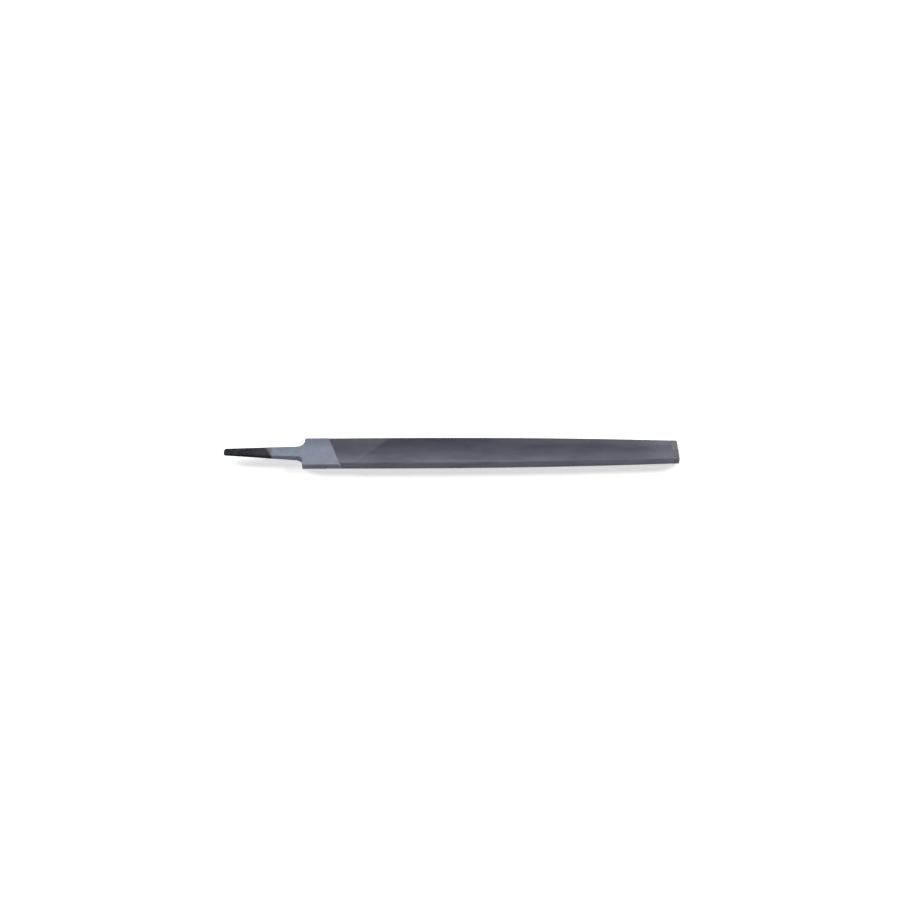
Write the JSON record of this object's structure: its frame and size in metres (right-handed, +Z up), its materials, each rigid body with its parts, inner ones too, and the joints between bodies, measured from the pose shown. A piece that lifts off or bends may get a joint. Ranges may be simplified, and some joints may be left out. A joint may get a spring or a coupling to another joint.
{
  "type": "flat file",
  "caption": "Flat hand file for metalwork: a long bellied steel blade with toothed faces and edges, a bare heel, a blunt point and a tapered tang that takes a handle.",
  "frame": {"origin": "on the surface it lies on, under the middle of the box round the whole file", "axes": "+X along the file from the tang to the point, +Y across the blade, +Z up, square to the two wide faces"},
  "size_m": [0.3644, 0.0306, 0.007],
  "materials": {
    "scorched_steel": "black heat scale on hardened steel, matt",
    "tang_steel": "forged and softened steel, satin blue-grey",
    "heel_steel": "ground steel, satin",
    "cut_steel": "hardened steel with cut teeth, dark grey",
    "point_steel": "hardened steel, ground at the end"
  },
  "bodies": {
    "root": {"tang_point": "scorched_steel", "tang": "tang_steel", "heel": "heel_steel", "blade_core": "cut_steel", "upper_face_teeth": "cut_steel", "lower_face_teeth": "cut_steel", "front_edge_teeth": "cut_steel", "back_edge_teeth": "cut_steel", "point": "point_steel"}
  },
  "joints": []
}
